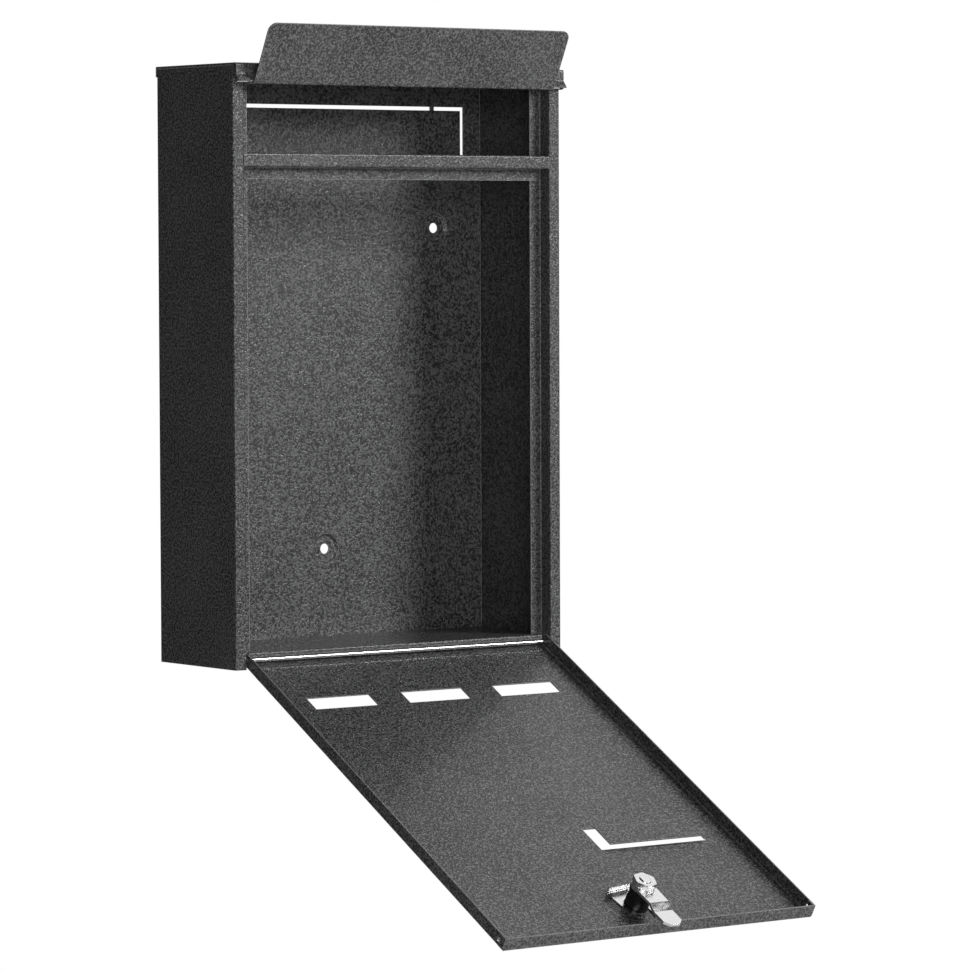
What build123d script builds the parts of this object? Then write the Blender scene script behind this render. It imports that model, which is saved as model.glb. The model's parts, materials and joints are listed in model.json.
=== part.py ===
"""Wall mounted mailbox in folded sheet steel, shown with its door and flap open.

The origin is on the wall plane, midway between the two upper screw holes.
+X is to the right as seen from the front, the front faces -Y and +Z is up.
"""

import os
from math import cos, radians, sin

from build123d import *

os.makedirs("parts", exist_ok=True)

# Driving dimensions, in millimetres and degrees
WIDTH = 270.0  # casing, side to side
HEIGHT = 400.0  # casing, bottom edge to roof
DEPTH = 92.8  # jamb face to the wall
SHEET = 0.8  # sheet steel thickness
BEND = 1.5  # outer bend radius

TOP_HOLE_RISE = 292.0  # upper screw holes above the casing's bottom edge
TOP_HOLE_SPACING = 188.0
LOW_HOLE_RISE = 71.0
SCREW_HOLE_R = 3.5
DIMPLE_DEPTH = 1.6  # pressed towards the wall

JAMB = 9.0  # width of each front jamb
REBATE = 10.5  # jamb face to the face of the stop flanges
STOP_FLANGE = 9.0
REAR_FLANGE = 13.0

FLOOR_RISE = 11.0  # top of the floor sheet above the bottom edge
SILL_HALF = 121.5  # half width of the floor's front tongue
SILL_SETBACK = 4.2
SILL_LIP = 3.2

RAIL_TOP = 341.0  # crossbar, heights above the bottom edge
RAIL_STEP = 332.0
RAIL_FOOT = 324.0

HEADER_OUT = 4.8  # overhang of the roof in front of the jambs
DRIP_OUT = 8.3
DRIP_TOP = 392.3
DRIP_FOOT = 388.0

DOOR_OPEN_ANGLE = 119.0
DOOR_HALF = 125.0
DOOR_LENGTH = 325.0  # hinge rod to free end
DOOR_TAIL = 5.0  # hinge rod to the hinged end
DOOR_SKIN = 4.0  # hinge rod to the outer face of the door
DOOR_LIP = 5.0  # hinge rod to the free edge of the side flanges
DOOR_STOP_LIP = 1.6
DOOR_ROD_SETBACK = 4.2
DOOR_ROD_RISE = 6.0
DOOR_ROD_R = 1.5
RUNNING_FIT = 0.05

SLOT_LENGTH = 50.0
SLOT_HEIGHT = 13.3
SLOT_PITCH = 76.0
SLOT_FROM_ROD = 50.0

PLATE_LEFT = 14.5
PLATE_RIGHT = 102.0
PLATE_NEAR = 211.4
PLATE_FAR = 235.0
TONGUE_LIFT = 3.0

FLAP_OPEN_LEAN = 26.3  # from upright, towards the front
FLAP_HALF = 123.5
FLAP_REACH = 44.6  # hinge rod to the free edge
FLAP_OFFSET = 6.3  # hinge rod to the back of the blade
FLAP_ROD_OUT = 1.5
FLAP_ROD_RISE = 388.2
FLAP_ROD_R = 1.2
FLAP_KNUCKLE_R = 2.0

LOCK_FROM_ROD = 296.0
LOCK_TWIST = 8.0  # the barrel sits slightly turned in the door
BARREL_R = 8.0
BARREL_FLAT = 7.0
BARREL_END = 10.5  # above the hinge rod's level
PLUG_R = 5.5
SHANK_R = 4.0
SHANK_FLAT = 3.2
CAM_THICK = 1.8
CAM_REACH = 39.0
CAM_HALF = 7.8
CAM_CRANK = 2.6
NUT_FLATS = 14.0
NUT_HEIGHT = 3.4
NUT_CROWN = 0.75  # by how much the corner chamfer clears the flats on top

# Places that follow from them
HALF = WIDTH / 2
FRONT = -DEPTH
BASE = -TOP_HOLE_RISE
TOP = BASE + HEIGHT
INNER_HALF = HALF - JAMB
STOP_Y = FRONT + REBATE
PANEL_BACK = -DIMPLE_DEPTH
PANEL_FRONT = PANEL_BACK - SHEET
WALL_REAR = -SHEET
WALL_TOP = TOP - 2 * SHEET

door_angle = radians(DOOR_OPEN_ANGLE)
door_rod_at = Vector(0, FRONT + DOOR_ROD_SETBACK, BASE + DOOR_ROD_RISE)
# Door plane: X to the right, Y from the free end to the hinge, Z to the door's inside
door_plane = Plane(
    origin=door_rod_at,
    x_dir=(1, 0, 0),
    z_dir=(0, cos(door_angle), sin(door_angle)),
)

flap_angle = radians(FLAP_OPEN_LEAN)
flap_rod_at = Vector(0, FRONT - FLAP_ROD_OUT, BASE + FLAP_ROD_RISE)
# Flap section plane: X from the hinge to the blade, Y along the blade to its free edge
flap_section = Plane(
    origin=flap_rod_at,
    x_dir=(0, -cos(flap_angle), -sin(flap_angle)),
    z_dir=(-1, 0, 0),
)

lock_at = door_plane.from_local_coords(Vector(0, -LOCK_FROM_ROD, 0))
lock_plane = Plane(origin=lock_at, x_dir=(1, 0, 0), z_dir=door_plane.z_dir)
lock_turned = Plane(lock_plane.location * Location((0, 0, 0), (0, 0, LOCK_TWIST)))


def finish(builder, name, colour):
    """Label a finished piece and write its STEP file."""
    builder.part.label = name
    builder.part.color = Color(*colour)
    export_step(builder.part, f"parts/{name}.step")


DARK = (0.09, 0.09, 0.10)
STEEL = (0.75, 0.75, 0.76)


# ---------------------------------------------------------------- side walls
def make_side_wall(side):
    """Folded wall: rear flange, wall, jamb, return and stop flange. side is -1 or 1."""
    with BuildPart() as wall:
        with BuildSketch(Plane.XY.offset(BASE)):
            with BuildLine():
                fold = FilletPolyline(
                    (side * (HALF - REAR_FLANGE), WALL_REAR),
                    (side * HALF, WALL_REAR),
                    (side * HALF, FRONT),
                    (side * INNER_HALF, FRONT),
                    (side * INNER_HALF, STOP_Y),
                    (side * (INNER_HALF - STOP_FLANGE), STOP_Y),
                    radius=[BEND, BEND, BEND, BEND - SHEET],
                )
                inner = Side.LEFT if side < 0 else Side.RIGHT
                offset(fold, amount=SHEET, side=inner, closed=True)
            make_face()
        extrude(amount=WALL_TOP - BASE)
        # The stop flange is cut away above the sill tongue
        with BuildSketch(Plane.XY.offset(BASE)):
            with Locations((side * (INNER_HALF - STOP_FLANGE / 2 - 0.5), STOP_Y)):
                Rectangle(STOP_FLANGE + 1.0, 3.0)
        extrude(amount=FLOOR_RISE + 0.3, mode=Mode.SUBTRACT)
        # Hole for the door's hinge rod through the return
        with BuildSketch(Plane.YZ.offset(side * (INNER_HALF - 1.0))):
            with Locations((door_rod_at.Y, door_rod_at.Z)):
                Circle(DOOR_ROD_R + RUNNING_FIT)
        extrude(amount=side * 4.0, mode=Mode.SUBTRACT)
    return wall


for wall_side, wall_name in ((-1, "side_wall_left"), (1, "side_wall_right")):
    finish(make_side_wall(wall_side), wall_name, DARK)


# ---------------------------------------------------------------- back panel
DIMPLE_TOP_R = 10.6
DIMPLE_FOOT_R = 8.4
SLIT = 2.5
SLIT_HALF = 118.8
SLIT_TOP = 376.4
SLIT_FOOT = 333.0
BRIDGE = 3.4
BRIDGE_OFFSET = 92.0

screw_holes = (
    (-TOP_HOLE_SPACING / 2, 0.0),
    (TOP_HOLE_SPACING / 2, 0.0),
    (0.0, BASE + LOW_HOLE_RISE),
)
panel_face = Plane(origin=(0, PANEL_FRONT, 0), x_dir=(1, 0, 0), z_dir=(0, -1, 0))
panel_rear = Plane(origin=(0, PANEL_BACK, 0), x_dir=(1, 0, 0), z_dir=(0, -1, 0))

with BuildPart() as back_panel:
    with BuildSketch(panel_rear):
        with Locations((0, (BASE + WALL_TOP) / 2)):
            Rectangle(WIDTH - 2 * BEND, WALL_TOP - BASE)
    extrude(amount=SHEET)
    # Outer skin of each pressed dimple, a shallow cone that ends on the wall plane
    for hole_x, hole_z in screw_holes:
        with BuildSketch(Plane(origin=(hole_x, PANEL_BACK, hole_z), z_dir=(0, 1, 0))):
            Circle(DIMPLE_TOP_R)
        with BuildSketch(Plane(origin=(hole_x, 0, hole_z), z_dir=(0, 1, 0))):
            Circle(DIMPLE_FOOT_R + SHEET)
        loft()
    # Hollow of each dimple
    for hole_x, hole_z in screw_holes:
        with BuildSketch(Plane(origin=(hole_x, PANEL_FRONT, hole_z), z_dir=(0, 1, 0))):
            Circle(DIMPLE_TOP_R)
        with BuildSketch(Plane(origin=(hole_x, -SHEET, hole_z), z_dir=(0, 1, 0))):
            Circle(DIMPLE_FOOT_R)
        loft(mode=Mode.SUBTRACT)
    with BuildSketch(panel_face):
        with Locations(*screw_holes):
            Circle(SCREW_HOLE_R)
    extrude(amount=-2 * DIMPLE_DEPTH - SHEET, mode=Mode.SUBTRACT)
    # Knock-out for letters from behind: a slit all round, held by small bridges
    with BuildSketch(panel_face):
        with Locations((0, BASE + (SLIT_TOP + SLIT_FOOT) / 2)):
            Rectangle(2 * SLIT_HALF, SLIT_TOP - SLIT_FOOT)
            Rectangle(2 * (SLIT_HALF - SLIT), SLIT_TOP - SLIT_FOOT - 2 * SLIT, mode=Mode.SUBTRACT)
            with GridLocations(2 * BRIDGE_OFFSET, SLIT_TOP - SLIT_FOOT, 2, 2):
                Rectangle(BRIDGE, 4 * SLIT, mode=Mode.SUBTRACT)
    extrude(amount=-SHEET, mode=Mode.SUBTRACT)
finish(back_panel, "back_panel", DARK)


# ---------------------------------------------------------------- roof
EAR_FOOT = 386.4
ROOF_TAIL = 7.0
HEM = 7.0

roof_fold_points = (
    (0, TOP - ROOF_TAIL),
    (0, TOP),
    (FRONT - HEADER_OUT, TOP),
    (FRONT - HEADER_OUT, BASE + DRIP_TOP),
    (FRONT - DRIP_OUT, BASE + DRIP_FOOT),
)
ear_points = (
    (FRONT - HEADER_OUT + 0.3, TOP - 0.3),
    (FRONT, TOP - 0.3),
    (FRONT, BASE + EAR_FOOT),
    (FRONT - 3.2, BASE + EAR_FOOT),
    (FRONT - DRIP_OUT + 1.0, BASE + DRIP_FOOT + 0.6),
    (FRONT - HEADER_OUT + 0.3, BASE + DRIP_TOP),
)

with BuildPart() as roof_panel:
    with BuildSketch(Plane.YZ):
        with BuildLine():
            fold = FilletPolyline(*roof_fold_points, radius=[1.0, BEND, BEND])
            offset(fold, amount=SHEET, side=Side.LEFT, closed=True)
        make_face()
    extrude(amount=HALF, both=True)
    # Hemmed side edges lie on the side walls
    for side in (-1, 1):
        with BuildSketch(Plane.XY.offset(TOP - 2 * SHEET)):
            with Locations((side * (HALF - HEM / 2), (FRONT + WALL_REAR) / 2)):
                Rectangle(HEM, WALL_REAR - FRONT)
        extrude(amount=SHEET)
        with BuildSketch(Plane.YZ.offset(side * HALF)):
            with BuildLine():
                Polyline(*ear_points, close=True)
            make_face()
            with Locations((flap_rod_at.Y, flap_rod_at.Z)):
                Circle(FLAP_ROD_R + RUNNING_FIT, mode=Mode.SUBTRACT)
        extrude(amount=-side * SHEET)
finish(roof_panel, "roof_panel", DARK)


# ---------------------------------------------------------------- floor
FLOOR_FLANGE = FLOOR_RISE - SHEET
floor_front = FRONT + SILL_SETBACK

with BuildPart() as floor_panel:
    with BuildSketch(Plane.YZ.offset(-SILL_HALF)):
        with BuildLine():
            fold = FilletPolyline(
                (floor_front, BASE + FLOOR_RISE - SILL_LIP),
                (floor_front, BASE + FLOOR_RISE),
                (STOP_Y + 2.0, BASE + FLOOR_RISE),
                radius=[1.3],
            )
            offset(fold, amount=SHEET, side=Side.RIGHT, closed=True)
        make_face()
    extrude(amount=2 * SILL_HALF)
    with BuildSketch(Plane.XY.offset(BASE + FLOOR_FLANGE)):
        with Locations((0, (STOP_Y + 1.2 + PANEL_FRONT) / 2)):
            Rectangle(WIDTH - 2 * SHEET, PANEL_FRONT - STOP_Y - 1.2)
    extrude(amount=SHEET)
    for side in (-1, 1):
        with BuildSketch(Plane.XY.offset(BASE)):
            with Locations((side * (HALF - 1.5 * SHEET), (STOP_Y + 3.0 + PANEL_FRONT) / 2)):
                Rectangle(SHEET, PANEL_FRONT - STOP_Y - 3.0)
        extrude(amount=FLOOR_FLANGE)
    with BuildSketch(Plane.XY.offset(BASE)):
        with Locations((0, PANEL_FRONT - SHEET / 2)):
            Rectangle(WIDTH - 2 * SHEET, SHEET)
    extrude(amount=FLOOR_FLANGE)
finish(floor_panel, "floor_panel", DARK)


# ---------------------------------------------------------------- crossbar
RAIL_HEM = 5.0

with BuildPart() as crossbar:
    with BuildSketch(Plane.YZ.offset(-INNER_HALF)):
        with BuildLine():
            fold = FilletPolyline(
                (FRONT + RAIL_HEM, BASE + RAIL_TOP),
                (FRONT, BASE + RAIL_TOP),
                (FRONT, BASE + RAIL_STEP),
                (STOP_Y - SHEET, BASE + RAIL_STEP),
                (STOP_Y - SHEET, BASE + RAIL_FOOT),
                radius=[1.2, 1.2, BEND - SHEET],
            )
            offset(fold, amount=SHEET, side=Side.LEFT, closed=True)
        make_face()
    extrude(amount=2 * INNER_HALF)
    # The foot stops short of the bend between return and stop flange
    for side in (-1, 1):
        with BuildSketch(Plane.XY.offset(BASE + RAIL_FOOT)):
            with Locations((side * INNER_HALF, STOP_Y)):
                Rectangle(2 * SHEET, 2 * SHEET)
        extrude(amount=RAIL_TOP - RAIL_FOOT, mode=Mode.SUBTRACT)
    foot_corners = crossbar.edges().filter_by(Axis.Y).group_by(Axis.Z)[0]
    fillet(foot_corners, radius=3.0)
finish(crossbar, "crossbar", DARK)


# ---------------------------------------------------------------- door
END_HOLE_R = 1.6
END_HOLE_FROM_ROD = 319.0
CORNER_TAB = 6.0
TONGUE_LEFT = 21.5
TONGUE_GAP = 1.6
door_bottom = door_plane.offset(-DOOR_SKIN)
# Across the door: X to the right, Y to the door's inside, Z to the free end
door_across = Plane(
    origin=door_plane.from_local_coords(Vector(0, DOOR_TAIL, 0)),
    x_dir=(1, 0, 0),
    z_dir=-door_plane.y_dir,
)
tongue_across = door_across.offset(DOOR_TAIL + PLATE_NEAR + TONGUE_GAP)
# Along the door's side: X to the hinged end, Y to the door's inside
door_side = Plane(origin=door_rod_at, x_dir=door_plane.y_dir, z_dir=(1, 0, 0))

with BuildPart() as door_panel:
    with BuildSketch(door_across):
        with BuildLine():
            fold = FilletPolyline(
                (-DOOR_HALF, DOOR_LIP),
                (-DOOR_HALF, -DOOR_SKIN),
                (DOOR_HALF, -DOOR_SKIN),
                (DOOR_HALF, DOOR_LIP),
                radius=[BEND, BEND],
            )
            offset(fold, amount=SHEET, side=Side.LEFT, closed=True)
        make_face()
    extrude(amount=DOOR_TAIL + DOOR_LENGTH)
    # Free end: a flange between the side flanges, with a tab lapped on each
    with BuildSketch(door_bottom):
        with Locations((0, -DOOR_LENGTH + SHEET / 2)):
            Rectangle(2 * (DOOR_HALF - SHEET), SHEET)
        for side in (-1, 1):
            with Locations((side * (DOOR_HALF - 1.5 * SHEET), (CORNER_TAB / 2) - DOOR_LENGTH)):
                Rectangle(SHEET, CORNER_TAB)
    extrude(amount=DOOR_SKIN + DOOR_LIP)
    # Hinged end: a low lip that meets the floor when the door is fully open
    with BuildSketch(door_bottom):
        with Locations((0, DOOR_TAIL - SHEET / 2)):
            Rectangle(2 * (SILL_HALF - 1.0), SHEET)
    extrude(amount=DOOR_SKIN + DOOR_STOP_LIP)
    # Side flanges end in a half round about the hinge rod, and hold the rod
    for side in (-1, 1):
        with BuildSketch(door_side.offset(side * (DOOR_HALF - 2 * SHEET))):
            Rectangle(DOOR_TAIL + 1, 2 * DOOR_LIP + 2, align=(Align.MIN, Align.CENTER))
            Circle(DOOR_LIP, mode=Mode.SUBTRACT)
            Circle(DOOR_ROD_R + RUNNING_FIT)
            with Locations((-END_HOLE_FROM_ROD, 0.5)):
                Circle(END_HOLE_R)
        extrude(amount=side * 3 * SHEET, mode=Mode.SUBTRACT)
    # Viewing slots
    with BuildSketch(door_bottom):
        with Locations((0, -SLOT_FROM_ROD)):
            with GridLocations(SLOT_PITCH, 0, 3, 1):
                Rectangle(SLOT_LENGTH, SLOT_HEIGHT)
    extrude(amount=SHEET, mode=Mode.SUBTRACT)
    # Name-plate window
    with BuildSketch(door_bottom):
        with Locations(((PLATE_LEFT + PLATE_RIGHT) / 2, -(PLATE_NEAR + PLATE_FAR) / 2)):
            Rectangle(PLATE_RIGHT - PLATE_LEFT, PLATE_FAR - PLATE_NEAR)
    extrude(amount=SHEET, mode=Mode.SUBTRACT)
    # Tongue across the window, raised to the inside and joined to the skin at its right end
    with BuildSketch(tongue_across):
        with BuildLine():
            fold = FilletPolyline(
                (TONGUE_LEFT, TONGUE_LIFT - DOOR_SKIN),
                (PLATE_RIGHT - 4.5, TONGUE_LIFT - DOOR_SKIN),
                (PLATE_RIGHT - 1.0, -DOOR_SKIN),
                (PLATE_RIGHT + 0.6, -DOOR_SKIN),
                radius=[1.5, 0.6],
            )
            offset(fold, amount=SHEET, side=Side.LEFT, closed=True)
        make_face()
    extrude(amount=PLATE_FAR - PLATE_NEAR - 2 * TONGUE_GAP)
    # Double-D hole for the lock barrel
    with BuildSketch(lock_turned.offset(-DOOR_SKIN)):
        Circle(BARREL_R + 0.1)
        Rectangle(2 * BARREL_FLAT + 0.2, 3 * BARREL_R, mode=Mode.INTERSECT)
    extrude(amount=SHEET, mode=Mode.SUBTRACT)
finish(door_panel, "door_panel", DARK)


# ---------------------------------------------------------------- hinge rods
with BuildPart() as door_hinge_rod:
    with BuildSketch(Plane.YZ):
        with Locations((door_rod_at.Y, door_rod_at.Z)):
            Circle(DOOR_ROD_R)
    extrude(amount=HALF - SHEET - 0.6, both=True)
    chamfer(door_hinge_rod.edges().filter_by(GeomType.CIRCLE), length=0.4)
finish(door_hinge_rod, "door_hinge_rod", STEEL)

with BuildPart() as flap_hinge_rod:
    with BuildSketch(Plane.YZ):
        with Locations((flap_rod_at.Y, flap_rod_at.Z)):
            Circle(FLAP_ROD_R)
    extrude(amount=HALF, both=True)
finish(flap_hinge_rod, "flap_hinge_rod", STEEL)


# ---------------------------------------------------------------- flap
FLAP_CORNER_R = 6.0
FLAP_LEG_FOOT = 0.5

with BuildPart() as flap:
    with BuildSketch(flap_section.offset(-FLAP_HALF)):
        with BuildLine():
            fold = FilletPolyline(
                (1.0, FLAP_LEG_FOOT),
                (FLAP_OFFSET + SHEET, FLAP_LEG_FOOT),
                (FLAP_OFFSET + SHEET, FLAP_REACH),
                radius=[BEND],
            )
            offset(fold, amount=SHEET, side=Side.LEFT, closed=True)
        make_face()
        Circle(FLAP_KNUCKLE_R)
        Circle(FLAP_ROD_R + RUNNING_FIT, mode=Mode.SUBTRACT)
    extrude(amount=2 * FLAP_HALF)
    along_blade = Axis(flap_rod_at, flap_section.y_dir)
    through_blade = Axis(flap_rod_at, flap_section.x_dir)
    free_corners = flap.edges().filter_by(through_blade).sort_by(along_blade)[-2:]
    fillet(free_corners, radius=FLAP_CORNER_R)
finish(flap, "flap", DARK)


# ---------------------------------------------------------------- lock
LOCK_FLANGE_R = 10.0
LOCK_FLANGE = 1.5
CLIP_GROOVE = 1.0
CLIP_SHEET = 0.9
CLIP_HALF = 11.0
CLIP_BACK = 18.0
CLIP_FRONT = 13.0
CLIP_SLOT_HALF = 6.25
CLIP_RISE = 5.6
KEYWAY = (1.8, 7.4)
KEYWAY_DEPTH = 12.0
WAFER_COUNT = 5
WAFER = (2.8, 10.2, 0.8)
WAFER_PITCH = 1.7
WAFER_START = 0.6
STOP_WASHER = 0.8
SPRING_WASHER = 1.0
STUD_OVER_NUT = 0.6

inner_skin = SHEET - DOOR_SKIN
cam_foot = BARREL_END + STOP_WASHER
cam_top = cam_foot + CAM_THICK
nut_foot = cam_top + SPRING_WASHER
stud_end = nut_foot + NUT_HEIGHT + STUD_OVER_NUT


def shank_outline(clearance=0.0):
    """Double-D outline of the plug's shank, added to the open sketch."""
    Circle(SHANK_R + clearance)
    Rectangle(2 * (SHANK_FLAT + clearance), 3 * SHANK_R, mode=Mode.INTERSECT)


with BuildPart() as lock_body:
    with BuildSketch(lock_turned.offset(-DOOR_SKIN - LOCK_FLANGE)):
        Circle(LOCK_FLANGE_R)
    extrude(amount=LOCK_FLANGE)
    chamfer(lock_body.faces().sort_by(Axis(lock_at, lock_plane.z_dir))[0].edges(), length=0.6)
    with BuildSketch(lock_turned.offset(-DOOR_SKIN)):
        Circle(BARREL_R)
        Rectangle(2 * BARREL_FLAT, 3 * BARREL_R, mode=Mode.INTERSECT)
    extrude(amount=DOOR_SKIN + BARREL_END)
    # Groove in each flat for the clip
    with BuildSketch(lock_turned.offset(inner_skin)):
        with Locations((-BARREL_FLAT - 0.3, 0), (BARREL_FLAT + 0.3, 0)):
            Rectangle(2.0, 3 * BARREL_R)
    extrude(amount=CLIP_GROOVE, mode=Mode.SUBTRACT)
    with BuildSketch(lock_turned.offset(-DOOR_SKIN - LOCK_FLANGE)):
        Circle(PLUG_R + RUNNING_FIT)
    extrude(amount=DOOR_SKIN + LOCK_FLANGE + BARREL_END, mode=Mode.SUBTRACT)
finish(lock_body, "lock_body", DARK)

with BuildPart() as lock_plug:
    with BuildSketch(lock_plane.offset(-DOOR_SKIN - LOCK_FLANGE + 0.3)):
        Circle(PLUG_R)
    extrude(amount=DOOR_SKIN + LOCK_FLANGE - 0.3 + BARREL_END)
    with BuildSketch(lock_plane.offset(BARREL_END)):
        shank_outline()
    extrude(amount=stud_end - BARREL_END)
    # Keyway from the front, and the slot that the wafers slide in
    with BuildSketch(lock_plane.offset(-DOOR_SKIN - LOCK_FLANGE)):
        Rectangle(*KEYWAY)
    extrude(amount=KEYWAY_DEPTH, mode=Mode.SUBTRACT)
    for wafer in range(WAFER_COUNT):
        with BuildSketch(lock_plane.offset(WAFER_START + wafer * WAFER_PITCH - 0.1)):
            Rectangle(WAFER[0] + 0.2, 3 * PLUG_R)
        extrude(amount=WAFER[2] + 0.2, mode=Mode.SUBTRACT)
finish(lock_plug, "lock_plug", STEEL)

with BuildPart() as lock_wafers:
    for wafer in range(WAFER_COUNT):
        with BuildSketch(lock_plane.offset(WAFER_START + wafer * WAFER_PITCH)):
            Rectangle(WAFER[0], WAFER[1])
            Rectangle(KEYWAY[0], KEYWAY[1] - 1.0, mode=Mode.SUBTRACT)
        extrude(amount=WAFER[2])
finish(lock_wafers, "lock_wafers", (0.72, 0.6, 0.3))

with BuildPart() as cam_stop_washer:
    with BuildSketch(lock_plane.offset(BARREL_END)):
        Circle(BARREL_R - 0.4)
        with Locations((BARREL_R - 0.8, 0)):
            Rectangle(3.4, 5.0)
        Circle(SHANK_R + RUNNING_FIT, mode=Mode.SUBTRACT)
    extrude(amount=STOP_WASHER)
finish(cam_stop_washer, "cam_stop_washer", STEEL)

# Along the lock's middle: X to the door's free end, Y to the door's inside
lock_section = Plane(origin=lock_at, x_dir=-lock_plane.y_dir, z_dir=(-1, 0, 0))

with BuildPart() as lock_cam:
    with BuildSketch(lock_section):
        with BuildLine():
            fold = FilletPolyline(
                (-CAM_HALF - 1, cam_foot),
                (0.47 * CAM_REACH, cam_foot),
                (0.62 * CAM_REACH, cam_foot - CAM_CRANK),
                (CAM_REACH + 1, cam_foot - CAM_CRANK),
                radius=[2.5, 2.5],
            )
            offset(fold, amount=CAM_THICK, side=Side.LEFT, closed=True)
        make_face()
    extrude(amount=CAM_HALF, both=True)
    with BuildSketch(lock_plane.offset(cam_foot - 2 * CAM_CRANK)):
        with BuildLine():
            RadiusArc((-CAM_HALF, 0), (CAM_HALF, 0), CAM_HALF)
            Polyline(
                (CAM_HALF, 0),
                (CAM_HALF - 0.6, 3.5 - CAM_REACH),
                (CAM_HALF - 4.2, -CAM_REACH),
                (4.2 - CAM_HALF, -CAM_REACH),
                (0.6 - CAM_HALF, 3.5 - CAM_REACH),
                (-CAM_HALF, 0),
            )
        make_face()
        Circle(SHANK_R + RUNNING_FIT, mode=Mode.SUBTRACT)
    extrude(amount=4 * CAM_CRANK + CAM_THICK, mode=Mode.INTERSECT)
finish(lock_cam, "lock_cam", STEEL)

with BuildPart() as cam_spring_washer:
    with BuildSketch(lock_plane.offset(cam_top)):
        Circle(SHANK_R + 3.0)
        Circle(SHANK_R + 0.3, mode=Mode.SUBTRACT)
        # The washer is split
        with Locations((SHANK_R + 1.6, -1.0)):
            Rectangle(4.4, 0.8, rotation=-30, mode=Mode.SUBTRACT)
    extrude(amount=SPRING_WASHER)
finish(cam_spring_washer, "cam_spring_washer", STEEL)

with BuildPart() as cam_nut:
    with BuildSketch(lock_plane.offset(nut_foot)):
        RegularPolygon(NUT_FLATS / 2, 6, major_radius=False, rotation=12)
    extrude(amount=NUT_HEIGHT)
    # Chamfered corners: the hexagon is cut by a cone
    with BuildSketch(lock_plane.offset(nut_foot)):
        Circle(NUT_FLATS / 2 + NUT_HEIGHT + NUT_CROWN)
    extrude(amount=NUT_HEIGHT + 0.01, taper=45, mode=Mode.INTERSECT)
    with BuildSketch(lock_plane.offset(nut_foot)):
        Circle(SHANK_R + RUNNING_FIT)
    extrude(amount=NUT_HEIGHT, mode=Mode.SUBTRACT)
finish(cam_nut, "cam_nut", STEEL)

clip_section = Plane(origin=lock_at, x_dir=-lock_turned.y_dir, z_dir=-lock_turned.x_dir)

with BuildPart() as lock_clip:
    with BuildSketch(clip_section):
        with BuildLine():
            fold = FilletPolyline(
                (1.5 - CLIP_BACK, inner_skin + CLIP_RISE),
                (-CLIP_BACK, inner_skin),
                (CLIP_FRONT - 5.0, inner_skin),
                (CLIP_FRONT, inner_skin + 1.2),
                radius=[1.6, 6.0],
            )
            offset(fold, amount=CLIP_SHEET, side=Side.LEFT, closed=True)
        make_face()
    extrude(amount=CLIP_HALF, both=True)
    with BuildSketch(lock_turned.offset(inner_skin)):
        with Locations((0, -CLIP_FRONT)):
            Rectangle(2 * CLIP_SLOT_HALF, 2 * CLIP_FRONT)
        Circle(BARREL_R + 0.3)
    extrude(amount=CLIP_RISE + 2.0, mode=Mode.SUBTRACT)
finish(lock_clip, "lock_clip", STEEL)
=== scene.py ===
"""Looks of a wall mounted sheet steel mailbox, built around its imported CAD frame.

Lengths are in metres. +X is to the right seen from the front, the front faces -Y and +Z is up.
"""

import json
import logging
import math
from dataclasses import dataclass
from enum import Enum

import bmesh
import bpy
from mathutils import Matrix, Quaternion, Vector


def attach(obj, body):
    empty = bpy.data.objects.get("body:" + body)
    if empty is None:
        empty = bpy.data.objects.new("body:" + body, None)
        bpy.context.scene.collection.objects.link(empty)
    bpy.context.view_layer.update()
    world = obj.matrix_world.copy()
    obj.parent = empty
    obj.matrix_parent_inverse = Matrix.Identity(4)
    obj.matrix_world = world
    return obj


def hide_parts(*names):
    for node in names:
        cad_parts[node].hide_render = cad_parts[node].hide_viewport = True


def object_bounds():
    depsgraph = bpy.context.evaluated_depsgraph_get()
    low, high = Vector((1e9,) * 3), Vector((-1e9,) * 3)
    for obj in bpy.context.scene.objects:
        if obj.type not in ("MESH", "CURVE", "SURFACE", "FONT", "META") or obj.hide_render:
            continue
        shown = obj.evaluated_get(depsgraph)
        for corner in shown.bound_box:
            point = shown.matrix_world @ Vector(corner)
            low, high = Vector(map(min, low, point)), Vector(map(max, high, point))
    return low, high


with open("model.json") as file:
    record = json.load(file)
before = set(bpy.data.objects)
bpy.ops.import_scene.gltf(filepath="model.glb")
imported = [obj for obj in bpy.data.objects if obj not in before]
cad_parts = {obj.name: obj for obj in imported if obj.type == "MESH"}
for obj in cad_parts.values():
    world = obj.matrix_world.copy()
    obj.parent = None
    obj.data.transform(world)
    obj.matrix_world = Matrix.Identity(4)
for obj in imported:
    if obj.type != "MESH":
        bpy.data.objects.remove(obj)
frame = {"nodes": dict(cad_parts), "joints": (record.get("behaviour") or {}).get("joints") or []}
cad_low, cad_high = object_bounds()

log = logging.getLogger("mailbox")
MM = 0.001

# Most values of a noise texture lie between these
NOISE_LOW, NOISE_HIGH = 0.3, 0.7

# Sockets of the colour mix node, which only their index tells apart
MIX_FACTOR, MIX_BELOW, MIX_ABOVE, MIX_RESULT = 0, 6, 7, 2

Colour = tuple[float, float, float]


class Slot(Enum):
    """Material slots of the record that new pieces take their finish from."""

    ZINC = "zinc_plate"


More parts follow.
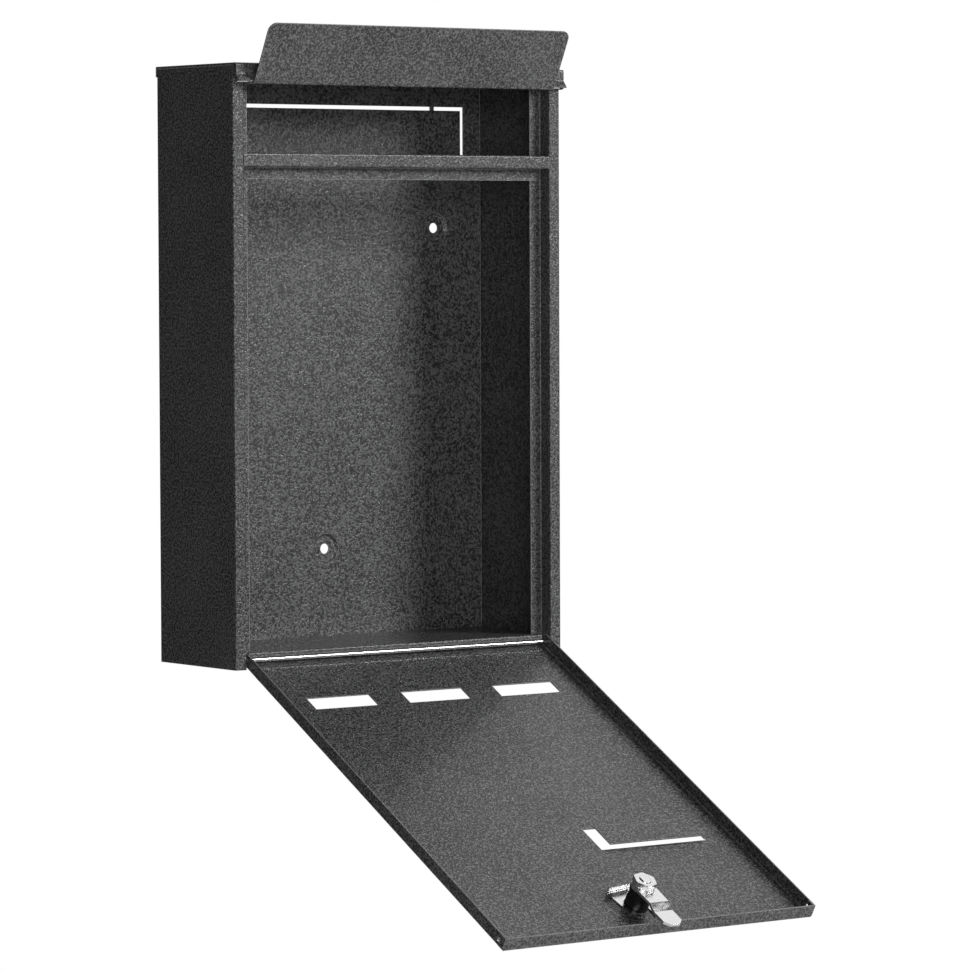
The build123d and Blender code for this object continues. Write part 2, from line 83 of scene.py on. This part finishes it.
class Shader:
    """A node material while it is being put together."""

    def __init__(self, name: str) -> None:
        """Starts an empty material.

        Args:
            name: The material's name.
        """
        self.material = bpy.data.materials.new(name)
        self.material.use_nodes = True
        self.tree = self.material.node_tree
        self.tree.nodes.clear()
        self.output = self.tree.nodes.new("ShaderNodeOutputMaterial")
        self.surface = self.tree.nodes.new("ShaderNodeBsdfPrincipled")
        self.tree.links.new(self.surface.outputs[0], self.output.inputs[0])
        self.place = self.tree.nodes.new("ShaderNodeTexCoord").outputs["Object"]

    def link(self, source: bpy.types.NodeSocket, target: bpy.types.NodeSocket) -> None:
        """Joins an output to an input."""
        self.tree.links.new(source, target)

    def stretched(self, scale: Vector) -> bpy.types.NodeSocket:
        """Object coordinates, scaled along each axis.

        Args:
            scale: The scale along X, Y and Z.

        Returns:
            The scaled coordinates.
        """
        mapping = self.tree.nodes.new("ShaderNodeMapping")
        mapping.inputs["Scale"].default_value = scale
        self.link(self.place, mapping.inputs["Vector"])
        return mapping.outputs[0]

    def noise(
        self,
        size: float,
        detail: float = 2.0,
        distortion: float = 0.0,
        place: bpy.types.NodeSocket | None = None,
    ) -> bpy.types.NodeSocket:
        """Soft random variation.

        Args:
            size: The width of one patch.
            detail: How much finer variation lies on it.
            distortion: How far the patches are drawn out into worms.
            place: The coordinates to read, or none for the object's own.

        Returns:
            A value of about 0.25 to 0.75.
        """
        node = self.tree.nodes.new("ShaderNodeTexNoise")
        node.inputs["Scale"].default_value = 1.0 / size
        node.inputs["Detail"].default_value = detail
        node.inputs["Distortion"].default_value = distortion
        self.link(place or self.place, node.inputs["Vector"])
        return node.outputs[0]

    def cells(self, size: float) -> bpy.types.NodeSocket:
        """Distance to the middle of the nearest of many small cells.

        Args:
            size: The width of one cell.

        Returns:
            A value of 0 at a cell's middle, up to about 0.8.
        """
        node = self.tree.nodes.new("ShaderNodeTexVoronoi")
        node.feature = "SMOOTH_F1"
        node.inputs["Scale"].default_value = 1.0 / size
        node.inputs["Smoothness"].default_value = 0.6
        self.link(self.place, node.inputs["Vector"])
        return node.outputs["Distance"]

    def spread(
        self, value: bpy.types.NodeSocket, low: float, high: float, start: float, end: float
    ) -> bpy.types.NodeSocket:
        """Maps a value from one range to another and holds it there.

        Args:
            value: The value to map.
            low: The value that gives start.
            high: The value that gives end.
            start: The result at low.
            end: The result at high.

        Returns:
            The mapped value.
        """
        node = self.tree.nodes.new("ShaderNodeMapRange")
        for name, number in (("From Min", low), ("From Max", high), ("To Min", start), ("To Max", end)):
            node.inputs[name].default_value = number
        self.link(value, node.inputs["Value"])
        return node.outputs[0]

    def combine(
        self, operation: str, first: bpy.types.NodeSocket, second: bpy.types.NodeSocket | float
    ) -> bpy.types.NodeSocket:
        """One arithmetic step.

        Args:
            operation: The step's name, such as ADD.
            first: The first value.
            second: The second value or a number.

        Returns:
            The result.
        """
        node = self.tree.nodes.new("ShaderNodeMath")
        node.operation = operation
        self.link(first, node.inputs[0])
        if isinstance(second, float):
            node.inputs[1].default_value = second
        else:
            self.link(second, node.inputs[1])
        return node.outputs[0]

    def blend(self, factor: bpy.types.NodeSocket, dark: Colour, light: Colour) -> bpy.types.NodeSocket:
        """A colour between two.

        Args:
            factor: 0 for the dark colour, 1 for the light one.
            dark: The first colour.
            light: The second colour.

        Returns:
            The mixed colour.
        """
        node = self.tree.nodes.new("ShaderNodeValToRGB")
        node.color_ramp.elements[0].color = (*dark, 1.0)
        node.color_ramp.elements[1].color = (*light, 1.0)
        self.link(factor, node.inputs[0])
        return node.outputs[0]

    def relief(self, height: bpy.types.NodeSocket, depth: float, strength: float, edge: float) -> None:
        """Gives the surface its relief, with softened edges.

        Args:
            height: The height, from 0 to 1.
            depth: The real depth of the relief.
            strength: How much of it shows.
            edge: The radius that sharp edges seem to have.
        """
        soft = self.tree.nodes.new("ShaderNodeBevel")
        soft.inputs["Radius"].default_value = edge
        bump = self.tree.nodes.new("ShaderNodeBump")
        bump.inputs["Strength"].default_value = strength
        bump.inputs["Distance"].default_value = depth
        self.link(height, bump.inputs["Height"])
        self.link(soft.outputs[0], bump.inputs["Normal"])
        self.link(bump.outputs[0], self.surface.inputs["Normal"])

    def edges(self, radius: float, flat: float = 0.985, turned: float = 0.90) -> bpy.types.NodeSocket:
        """Where the surface turns a corner.

        Args:
            radius: How far from a corner it still shows.
            flat: The cosine of the turn up to which a surface counts as flat.
            turned: The cosine of the turn from which it counts as a full corner.

        Returns:
            1 on a corner, 0 away from it.
        """
        soft = self.tree.nodes.new("ShaderNodeBevel")
        soft.inputs["Radius"].default_value = radius
        plain = self.tree.nodes.new("ShaderNodeNewGeometry")
        match = self.tree.nodes.new("ShaderNodeVectorMath")
        match.operation = "DOT_PRODUCT"
        self.link(soft.outputs[0], match.inputs[0])
        self.link(plain.outputs["Normal"], match.inputs[1])
        return self.spread(match.outputs["Value"], flat, turned, 0.0, 1.0)

    def cover(
        self, base: bpy.types.NodeSocket, factor: bpy.types.NodeSocket, colour: Colour
    ) -> bpy.types.NodeSocket:
        """Lays a plain colour over another.

        Args:
            base: The colour below.
            factor: How much the new colour covers, from 0 to 1.
            colour: The new colour.

        Returns:
            The covered colour.
        """
        node = self.tree.nodes.new("ShaderNodeMix")
        node.data_type = "RGBA"
        node.inputs[MIX_ABOVE].default_value = (*colour, 1.0)
        self.link(factor, node.inputs[MIX_FACTOR])
        self.link(base, node.inputs[MIX_BELOW])
        return node.outputs[MIX_RESULT]

    def fix(self, **sockets: float) -> None:
        """Sets constant values on the shader's own sockets, with _ for a space in a name."""
        for name, number in sockets.items():
            self.surface.inputs[name.replace("_", " ")].default_value = number


@dataclass(frozen=True)
class Hammertone:
    """Glossy hammered powder coat: fine uneven beads, with a painted highlight, a lighter colour along
    the edges and bends.
    """

    valley: Colour = (0.001, 0.001, 0.001)
    crown: Colour = (0.15, 0.151, 0.154)
    # painted highlight: the lighter colour laid along edges and bends in place of their glint
    edge_highlight: Colour = (0.38, 0.38, 0.39)
    bead: float = 1.5 * MM
    bead_low: float = 0.40
    bead_high: float = 0.62
    grit: float = 0.8 * MM
    grit_share: float = 0.35
    patch: float = 60 * MM
    patch_swing: float = 0.08
    tone_share: float = 0.8
    depth: float = 0.22 * MM
    strength: float = 1.0
    smooth: float = 0.22
    rough: float = 0.45
    gloss_low: float = 0.1
    gloss_high: float = 1.2
    coat: float = 0.25
    coat_rough: float = 0.12
    refraction: float = 1.52
    edge: float = 0.3 * MM
    line: float = 0.8 * MM

    def material(self) -> bpy.types.Material:
        """The finished paint."""
        shader = Shader("hammertone_paint")
        winding = shader.noise(self.bead, detail=1.0, distortion=0.4)
        beads = shader.spread(winding, self.bead_low, self.bead_high, 0.0, 1.0)
        grit = shader.noise(self.grit, detail=2.0)
        height = shader.combine("ADD", beads, shader.combine("MULTIPLY", grit, self.grit_share))
        clouds = shader.noise(self.patch, detail=3.0)
        patches = shader.spread(clouds, NOISE_LOW, NOISE_HIGH, -self.patch_swing, self.patch_swing)
        tone = shader.combine("ADD", shader.combine("MULTIPLY", height, self.tone_share), patches)
        paint = shader.blend(tone, self.valley, self.crown)
        # painted highlight: the corner mask lays a lighter colour on edges and bends
        colour = shader.cover(paint, shader.edges(self.line), self.edge_highlight)
        gloss = shader.spread(height, self.gloss_low, self.gloss_high, self.rough, self.smooth)
        shader.link(colour, shader.surface.inputs["Base Color"])
        shader.link(gloss, shader.surface.inputs["Roughness"])
        shader.fix(Metallic=0.0, IOR=self.refraction)
        shader.fix(Coat_Weight=self.coat, Coat_Roughness=self.coat_rough)
        shader.relief(height, self.depth, self.strength, self.edge)
        return shader.material


@dataclass(frozen=True)
class BrightMetal:
    """Bare or plated metal with fine lines along one direction and faint cloudy tarnish."""

    name: str
    dull: Colour
    bright: Colour
    smooth: float
    rough: float
    lines: Vector
    line: float = 0.5 * MM
    cloud: float = 5 * MM
    tone_low: float = 0.7
    tone_high: float = 1.3
    depth: float = 0.02 * MM
    strength: float = 0.4
    edge: float = 0.25 * MM

    def material(self) -> bpy.types.Material:
        """The finished metal."""
        shader = Shader(self.name)
        lines = shader.noise(self.line, detail=3.0, place=shader.stretched(self.lines))
        cloud = shader.noise(self.cloud, detail=4.0)
        both = shader.combine("ADD", lines, cloud)
        tone = shader.spread(both, self.tone_low, self.tone_high, 0.0, 1.0)
        gloss = shader.spread(cloud, NOISE_LOW, NOISE_HIGH, self.smooth, self.rough)
        shader.link(shader.blend(tone, self.dull, self.bright), shader.surface.inputs["Base Color"])
        shader.link(gloss, shader.surface.inputs["Roughness"])
        shader.fix(Metallic=1.0)
        shader.relief(lines, self.depth, self.strength, self.edge)
        return shader.material


@dataclass(frozen=True)
class BlackBarrel:
    """Dark plated die casting of the lock's barrel, with a slightly pitted skin."""

    low: Colour = (0.012, 0.012, 0.013)
    high: Colour = (0.05, 0.05, 0.052)
    cloud: float = 3 * MM
    pit: float = 0.7 * MM
    pit_edge: float = 0.7
    smooth: float = 0.22
    rough: float = 0.4
    metallic: float = 0.6
    depth: float = 0.03 * MM
    strength: float = 0.35
    edge: float = 0.25 * MM

    def material(self) -> bpy.types.Material:
        """The finished casting."""
        shader = Shader("black_casting")
        pits = shader.cells(self.pit)
        colour = shader.blend(shader.noise(self.cloud, detail=3.0), self.low, self.high)
        gloss = shader.spread(pits, 0.0, self.pit_edge, self.smooth, self.rough)
        shader.link(colour, shader.surface.inputs["Base Color"])
        shader.link(gloss, shader.surface.inputs["Roughness"])
        shader.fix(Metallic=self.metallic)
        shader.relief(pits, self.depth, self.strength, self.edge)
        return shader.material


@dataclass(frozen=True)
class PaleFloor:
    """Matt pale studio floor with a barely visible mottle."""

    low: Colour = (0.76, 0.76, 0.76)
    high: Colour = (0.82, 0.82, 0.82)
    patch: float = 0.4
    rough: float = 0.9
    glow: float = 0.10

    def material(self) -> bpy.types.Material:
        """The finished floor."""
        shader = Shader("pale_floor")
        mottle = shader.noise(self.patch, detail=3.0)
        shader.link(shader.blend(mottle, self.low, self.high), shader.surface.inputs["Base Color"])
        shader.surface.inputs["Emission Color"].default_value = (1.0, 1.0, 1.0, 1.0)
        shader.fix(Roughness=self.rough, Emission_Strength=self.glow)
        return shader.material


class Paintwork:
    """Every finish of the mailbox, made once."""

    def __init__(self) -> None:
        """Makes the finishes."""
        even = Vector((1.0, 1.0, 1.0))
        self.hammertone = Hammertone().material()
        self.rod = BrightMetal(
            name="drawn_rod",
            dull=(0.62, 0.62, 0.63),
            bright=(0.88, 0.88, 0.89),
            smooth=0.14,
            rough=0.26,
            lines=Vector((0.03, 1.0, 1.0)),
        ).material()
        self.zinc = BrightMetal(
            name="bright_zinc",
            dull=(0.72, 0.72, 0.73),
            bright=(0.95, 0.95, 0.95),
            smooth=0.16,
            rough=0.34,
            lines=even,
        ).material()
        self.brass = BrightMetal(
            name="stamped_brass",
            dull=(0.50, 0.38, 0.16),
            bright=(0.80, 0.64, 0.32),
            smooth=0.2,
            rough=0.35,
            lines=even,
        ).material()
        self.barrel = BlackBarrel().material()


def dress(node: str, finish: bpy.types.Material) -> None:
    """Gives a CAD node its finish.

    Args:
        node: The CAD node's name.
        finish: The material for all of it.
    """
    mesh_object = frame["nodes"][node]
    mesh_object.data.materials.clear()
    mesh_object.data.materials.append(finish)


@dataclass
class SheetParts:
    """The folded sheet parts: the casing, the door and the flap."""

    finish: bpy.types.Material
    nodes: tuple[str, ...] = (
        "side_wall_left",
        "side_wall_right",
        "back_panel",
        "roof_panel",
        "floor_panel",
        "crossbar",
        "door_panel",
        "flap",
    )

    def build(self) -> None:
        """Paints the sheet parts."""
        for node in self.nodes:
            dress(node, self.finish)
            log.info("sheet part %s painted", node)


@dataclass
class HingeRods:
    """The two drawn steel rods."""

    finish: bpy.types.Material
    nodes: tuple[str, ...] = ("door_hinge_rod", "flap_hinge_rod")

    def build(self) -> None:
        """Finishes the rods."""
        for node in self.nodes:
            dress(node, self.finish)
            log.info("rod %s finished", node)


@dataclass
class CamLock:
    """The lock in the door, with its toothed spring washer."""

    finishes: Paintwork
    teeth: int = 28
    points_per_tooth: int = 4
    tooth_rise: float = 0.2 * MM
    washer_inner: float = 4.4 * MM
    washer_outer: float = 7.6 * MM

    def build(self) -> None:
        """Finishes the lock's CAD parts and adds its serrated washer."""
        for node in ("lock_clip", "lock_cam", "cam_stop_washer", "cam_nut", "lock_plug"):
            dress(node, self.finishes.zinc)
        dress("lock_body", self.finishes.barrel)
        dress("lock_wafers", self.finishes.brass)
        self.serrated_washer()
        log.info("cam lock finished")

    def axis(self) -> tuple[Vector, Vector]:
        """The lock's axis at rest.

        Returns:
            A point on the axis and its direction towards the inside of the door.
        """
        joint = next(j for j in frame["joints"] if j["name"] == "lock_turn")
        return Vector(joint["pos_m"]), Vector(joint["axis"]).normalized()

    def span(self, node: str) -> tuple[float, float]:
        """How far along the lock's axis a CAD node reaches.

        Args:
            node: The CAD node's name.

        Returns:
            Its lowest and highest place along the axis, from the axis point.
        """
        point, direction = self.axis()
        places = [(v.co - point).dot(direction) for v in frame["nodes"][node].data.vertices]
        return min(places), max(places)

    def serrated_washer(self) -> None:
        """The spring washer under the nut: a ring whose faces rise and fall in small teeth."""
        point, direction = self.axis()
        low, high = self.span("cam_spring_washer")
        mesh = bpy.data.meshes.new("serrated_washer")
        form = bmesh.new()
        steps = self.teeth * self.points_per_tooth
        rings = []
        for radius, level in (
            (self.washer_inner, low),
            (self.washer_outer, low),
            (self.washer_outer, high),
            (self.washer_inner, high),
        ):
            ring = []
            for step in range(steps):
                turn = 2 * math.pi * step / steps
                saw = (step % self.points_per_tooth) / (self.points_per_tooth - 1)
                inward = 1 if level == low else -1
                height = level + inward * self.tooth_rise * saw
                ring.append(form.verts.new((radius * math.cos(turn), radius * math.sin(turn), height)))
            rings.append(ring)
        for this, following in zip(rings, rings[1:] + rings[:1]):
            for step in range(steps):
                after = (step + 1) % steps
                form.faces.new((this[step], this[after], following[after], following[step]))
        bmesh.ops.recalc_face_normals(form, faces=form.faces)
        form.to_mesh(mesh)
        form.free()
        turned = direction.to_track_quat("Z", "Y").to_matrix().to_4x4()
        mesh.transform(Matrix.Translation(point) @ turned)
        mesh.materials.append(self.finishes.zinc)
        piece = bpy.data.objects.new("serrated_washer", mesh)
        bpy.context.scene.collection.objects.link(piece)
        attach(piece, "lock")
        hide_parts("cam_spring_washer")


@dataclass(frozen=True)
class Lamp:
    """A soft square lamp."""

    name: str
    place: Vector
    size: float
    power: float

    def build(self, target: Vector) -> None:
        """Adds the lamp to the scene.

        Args:
            target: What it points at.
        """
        light = bpy.data.lights.new(self.name, "AREA")
        light.size = self.size
        light.energy = self.power
        lamp = bpy.data.objects.new(self.name, light)
        lamp.location = self.place
        lamp.rotation_mode = "QUATERNION"
        lamp.rotation_quaternion = (target - self.place).to_track_quat("-Z", "Y")
        bpy.context.scene.collection.objects.link(lamp)


@dataclass
class Studio:
    """Pale floor, soft light and the camera."""

    floor_drop: float = 0.5
    floor_radius: float = 2.2
    backdrop: Colour = (1.0, 1.0, 1.0)
    ambient: float = 0.055
    surround: float = 1.0
    lamps: tuple[Lamp, ...] = (
        Lamp("key", Vector((1.5, -2.3, 1.0)), 1.0, 55.0),
        Lamp("rear", Vector((1.5, 0.7, 1.3)), 1.8, 9.5),
        Lamp("left", Vector((-1.2, -3.0, 0.2)), 1.6, 30.0),
    )
    camera_at: Vector = Vector((-1.91381, -2.76600, -0.01433))
    heading: float = math.radians(36.5775)
    tilt: float = math.radians(-2.7836)
    roll: float = math.radians(-0.2127)
    sensor: float = 36.0
    lens: float = 181.05

    def build(self) -> None:
        """Sets up the studio."""
        self.floor()
        self.world()
        for lamp in self.lamps:
            lamp.build((cad_low + cad_high) / 2)
        self.camera()
        log.info("studio set up")

    def floor(self) -> None:
        """A round pale floor below the open door."""
        mesh = bpy.data.meshes.new("studio_floor")
        form = bmesh.new()
        bmesh.ops.create_circle(form, cap_ends=True, segments=128, radius=self.floor_radius)
        form.to_mesh(mesh)
        form.free()
        mesh.transform(Matrix.Translation((0, 0, cad_low.z - self.floor_drop)))
        mesh.materials.append(PaleFloor().material())
        floor = bpy.data.objects.new("studio_floor", mesh)
        bpy.context.scene.collection.objects.link(floor)

    def world(self) -> None:
        """An even white surround that looks brighter to the camera than it lights."""
        world = bpy.data.worlds.new("studio_world")
        world.use_nodes = True
        tree = world.node_tree
        tree.nodes.clear()
        output = tree.nodes.new("ShaderNodeOutputWorld")
        mix = tree.nodes.new("ShaderNodeMixShader")
        path = tree.nodes.new("ShaderNodeLightPath")
        for index, strength in ((1, self.ambient), (2, self.surround)):
            light = tree.nodes.new("ShaderNodeBackground")
            light.inputs["Color"].default_value = (*self.backdrop, 1.0)
            light.inputs["Strength"].default_value = strength
            tree.links.new(light.outputs[0], mix.inputs[index])
        tree.links.new(path.outputs["Is Camera Ray"], mix.inputs[0])
        tree.links.new(mix.outputs[0], output.inputs[0])
        bpy.context.scene.world = world
        bpy.context.scene.view_settings.view_transform = "Standard"

    def camera(self) -> None:
        """The camera, slightly above and to the left of the front."""
        data = bpy.data.cameras.new("camera")
        data.sensor_fit = "HORIZONTAL"
        data.sensor_width = self.sensor
        data.lens = self.lens
        camera = bpy.data.objects.new("camera", data)
        level = math.cos(self.tilt)
        ahead = Vector(
            (math.sin(self.heading) * level, math.cos(self.heading) * level, math.sin(self.tilt))
        )
        camera.location = self.camera_at
        camera.rotation_mode = "QUATERNION"
        camera.rotation_quaternion = ahead.to_track_quat("-Z", "Y") @ Quaternion((0, 0, 1), self.roll)
        bpy.context.scene.collection.objects.link(camera)
        bpy.context.scene.camera = camera


def main() -> None:
    """Builds the mailbox's looks in order."""
    logging.basicConfig(level=logging.INFO, format="%(name)s: %(message)s")
    finishes = Paintwork()
    SheetParts(finishes.hammertone).build()
    HingeRods(finishes.rod).build()
    CamLock(finishes).build()
    Studio().build()


if __name__ == "__main__":
    main()
